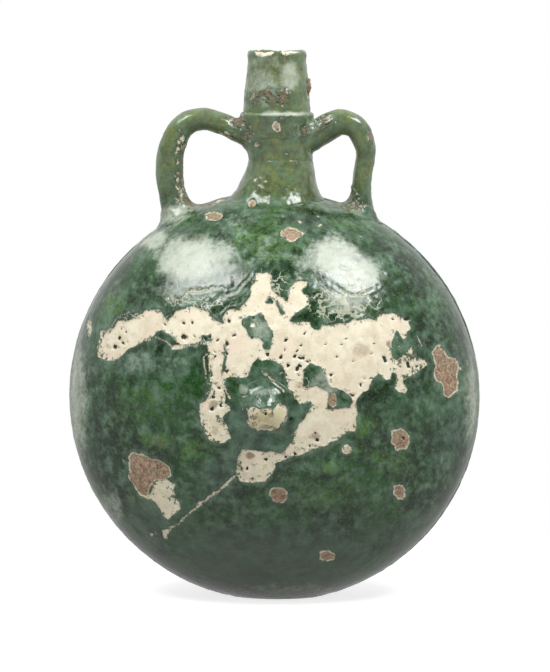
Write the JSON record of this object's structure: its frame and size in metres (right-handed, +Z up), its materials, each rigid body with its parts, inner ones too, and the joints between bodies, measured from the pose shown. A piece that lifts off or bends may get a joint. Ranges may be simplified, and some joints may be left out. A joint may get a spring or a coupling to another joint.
{
  "type": "pilgrim flask",
  "caption": "Round flattened flask of glazed earthenware with a narrow upright neck, a low cordon, unequal looped strap handles on the shoulders and a button on each face.",
  "frame": {"origin": "middle of the flat foot, on the surface that the flask stands on", "axes": "+Z up along the neck, +X to the right handle, -Y out of the front face"},
  "size_m": [0.2058, 0.161, 0.273],
  "materials": {
    "green_glaze": "copper-green lead glaze, glossy, mottled and partly weathered",
    "worn_clay": "pink-brown fired clay with remains of green glaze",
    "worn_slip": "cream slip left bare where the glaze has flaked away",
    "fired_slip": "matt fired slip",
    "kiln_grit": "rough orange-brown kiln grit under glaze"
  },
  "bodies": {
    "root": {"front_shell": "green_glaze", "back_shell": "green_glaze", "seam_slip": "fired_slip", "seam_coil": "green_glaze", "neck_tube": "green_glaze", "neck_root_coil": "green_glaze", "neck_cordon": "green_glaze", "left_handle": "green_glaze", "right_handle": "green_glaze", "left_neck_wad": "worn_clay", "right_neck_wad": "worn_clay", "left_shoulder_wad": "worn_clay", "right_shoulder_wad": "worn_clay", "front_boss": "worn_slip", "back_boss": "green_glaze", "kiln_scar": "kiln_grit"}
  },
  "joints": []
}
